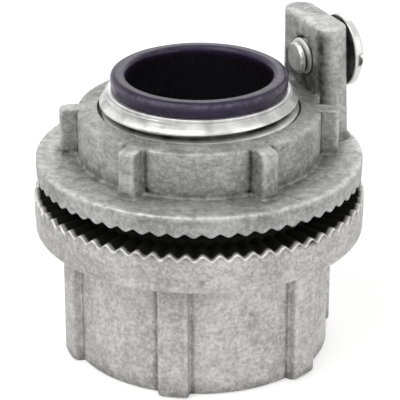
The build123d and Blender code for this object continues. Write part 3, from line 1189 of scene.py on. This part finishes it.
def turnedMetal(name, look):
    material, tree, shader = newMaterial(name, look)
    place = addNode(tree, "ShaderNodeTexCoord").outputs["Object"]
    drawn = addNode(tree, "ShaderNodeMapping", None, dict(Vector=place, Scale=turnedLook["stretch"]))
    marks = addNoise(tree, drawn.outputs["Vector"], *turnedLook["marks"])
    patches = addNoise(tree, place, *turnedLook["patches"])
    colour = addTones(tree, patches, look)
    colour, paintedLightAndWear = addLightAndWear(tree, patches, colour, look)
    addSurface(tree, shader, colour, marks, look, paintedLightAndWear)
    addBump(tree, shader, marks, look)
    return material


cutThread = turnedMetal("cut thread", dict(
    rough=0.33, roughSpread=0.15, polish=0, dulling=0.4, metallic=0.9, bump=(0.4, 0.03), tones=(0.35, 0.65),
    dark=(0.42, 0.42, 0.41, 1), light=(0.58, 0.58, 0.57, 1),
    highlightAndWearTone=(0.88, 0.88, 0.87, 1), shadeAndStain=(0.03, 0.03, 0.028, 1),
))
screwPlate = turnedMetal("screw plating", dict(
    rough=0.22, roughSpread=0.15, polish=0, dulling=0.4, metallic=0.65, bump=(0.2, 0.03), tones=(0.35, 0.65),
    dark=(0.64, 0.64, 0.63, 1), light=(0.78, 0.78, 0.77, 1),
    highlightAndWearTone=(0.95, 0.95, 0.94, 1), shadeAndStain=(0.05, 0.05, 0.05, 1),
))


# The throat's plastic: dark violet, waxy, with pale scuffs on its outer edge, a painted
# highlight on its inner edge and broad ripples, and painted shade inside the bore
def throatPlastic(look):
    material, tree, shader = newMaterial("throat plastic", look)
    skin = addGroup(tree, castSkin, dict(Size=look["size"]))
    colour = addTones(tree, skin.outputs["Clouds"], look)
    colour = addLightAndWear(tree, skin.outputs["Mottle"], colour, look, look["highlightAndWearShare"])[0]
    addSurface(tree, shader, colour, skin.outputs["Mottle"], look)
    addBump(tree, shader, skin.outputs["Clouds"], look)
    return material


violetPlastic = throatPlastic(dict(
    size=0.9, highlightAndWearShare=0.8, rough=0.12, roughSpread=0.3, specular=0.25, bump=(0.5, 0.8), tones=(0.35, 0.65),
    dark=(0.012, 0.008, 0.027, 1), light=(0.030, 0.021, 0.058, 1),
    highlightAndWearTone=(0.17, 0.15, 0.22, 1), shadeAndStain=(0.008, 0.007, 0.009, 1),
))


# The ring's rubber: nearly black and dull, with a fine grain
def sealRubber(look):
    material, tree, shader = newMaterial("seal rubber", look)
    skin = addGroup(tree, castSkin, dict(Size=look["size"]))
    colour = addMix(tree, skin.outputs["Mottle"], look["dark"], look["light"])
    addSurface(tree, shader, colour, skin.outputs["Clouds"], look)
    addBump(tree, shader, skin.outputs["Grain"], look)
    return material


blackRubber = sealRubber(dict(
    size=1.2, rough=0.65, roughSpread=0.2, specular=0.3, bump=(0.3, 0.1),
    dark=(0.004, 0.004, 0.004, 1), light=(0.012, 0.012, 0.011, 1),
))


# Faces whose middles the test picks take the second of a piece's two materials
def secondMaterial(piece, material, test):
    piece.data.materials.append(material)
    middles = np.zeros(len(piece.data.polygons) * 3)
    piece.data.polygons.foreach_get("center", middles)
    x, y, z = middles.reshape(-1, 3).T / mm
    picked = test(np.hypot(x, y), z)
    piece.data.polygons.foreach_set("material_index", picked.astype(np.int32))


# What a tool cut on the hub: the threads of its nipple and its socket
def isCut(radius, height):
    low, high = hub["cutSocket"]
    inSocket = (height > low) & (height < high)
    return (radius < hub["cutReach"]) & (inSocket | (height > hub["cutNipple"]))


# A piece takes its material, rides on its body and stands in for its CAD node
def fit(piece, body, node, material):
    piece.data.materials.clear()
    piece.data.materials.append(material)
    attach(piece, body)
    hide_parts(node)


print("materials ready")
hubBody = makeHubBody()
fit(hubBody, "hub", "hub_body", hubZinc)
secondMaterial(hubBody, cutThread, isCut)
fit(makeSealingRing(), "seal", "sealing_ring", blackRubber)
fit(makeThroat(), "hub", "insulated_throat", violetPlastic)
fit(makeLocknut(), "locknut", "grounding_locknut", nutZinc)
fit(makeScrew(), "ground_screw", "ground_screw", screwPlate)
print("pieces ready")


# Stage: a pale floor and a soft, even studio

stage = dict(
    floorHalf=3.0,
    floorColour=(0.86, 0.86, 0.86, 1),
    floorLift=0.5,
    worldLight=0.42,
    aimHeight=0.03,
    key=dict(place=(-0.35, -0.30, 0.62), size=0.5, power=2.0),
    fill=dict(place=(0.50, -0.35, 0.30), size=0.5, power=0.7),
    back=dict(place=(0.10, 0.55, 0.45), size=0.4, power=0.8),
)


# Turns a lamp or a camera towards the point of the axis at a height
def aimAt(aimed, height):
    way = Vector((0, 0, height)) - aimed.location
    aimed.rotation_euler = way.to_track_quat("-Z", "Y").to_euler()


# 1 for rays of the given kinds and 0 for all others
def addSeen(tree, *rays):
    path = addNode(tree, "ShaderNodeLightPath")
    seen = 0.0
    for ray in rays:
        seen = addMath(tree, "MAXIMUM", path.outputs[ray], seen)
    return seen


# The world and the floor show white to the camera and to reflections, but light the object
# no more than a plain room does
def buildStage():
    world = bpy.data.worlds.new("studio")
    bpy.context.scene.world = world
    world.use_nodes = True
    tree = world.node_tree
    seen = addSeen(tree, "Is Camera Ray", "Is Transmission Ray", "Is Glossy Ray")
    strength = addMath(tree, "MULTIPLY", seen, 1 - stage["worldLight"])
    strength = addMath(tree, "ADD", strength, stage["worldLight"])
    background = tree.nodes["Background"]
    background.inputs["Color"].default_value = (1, 1, 1, 1)
    tree.links.new(strength, background.inputs["Strength"])

    half = stage["floorHalf"]
    mesh = bpy.data.meshes.new("floor")
    corners = np.array([(-half, -half, 0), (half, -half, 0), (half, half, 0), (-half, half, 0)])
    mesh.from_pydata(corners.tolist(), [], [(0, 1, 2, 3)])
    floor = addObject("floor", mesh)
    material, tree, shader = newMaterial("pale floor")
    shader.inputs["Base Color"].default_value = stage["floorColour"]
    shader.inputs["Roughness"].default_value = 0.9
    shader.inputs["Emission Color"].default_value = (1, 1, 1, 1)
    seen = addSeen(tree, "Is Camera Ray", "Is Glossy Ray")
    tree.links.new(addMath(tree, "MULTIPLY", seen, stage["floorLift"]), shader.inputs["Emission Strength"])
    floor.data.materials.append(material)

    for name in ("key", "fill", "back"):
        values = stage[name]
        light = bpy.data.lights.new(name, "AREA")
        light.size = values["size"]
        light.energy = values["power"]
        lamp = addObject(name, light)
        lamp.location = values["place"]
        aimAt(lamp, stage["aimHeight"])


# Camera at the photograph's angle, above the horizon in degrees, and its distance in metres

camera = dict(
    elevation=24.0,
    distance=0.370,
    aimHeight=0.02555,
    pixels=2191.0,
    imageWidth=400.0,
    offCentre=0.8,
)


def buildCamera():
    tilt = math.radians(camera["elevation"])
    data = bpy.data.cameras.new("camera")
    data.sensor_width = 36
    data.lens = data.sensor_width * camera["pixels"] / camera["imageWidth"]
    data.shift_x = camera["offCentre"] / camera["imageWidth"]
    data.clip_start = 0.01
    data.clip_end = 20
    lens = addObject("camera", data)
    away = Vector((0, -math.cos(tilt), math.sin(tilt)))
    lens.location = Vector((0, 0, camera["aimHeight"])) + away * camera["distance"]
    aimAt(lens, camera["aimHeight"])
    bpy.context.scene.camera = lens


buildStage()
buildCamera()
bpy.context.scene.view_settings.view_transform = "Standard"
print("stage and camera ready")
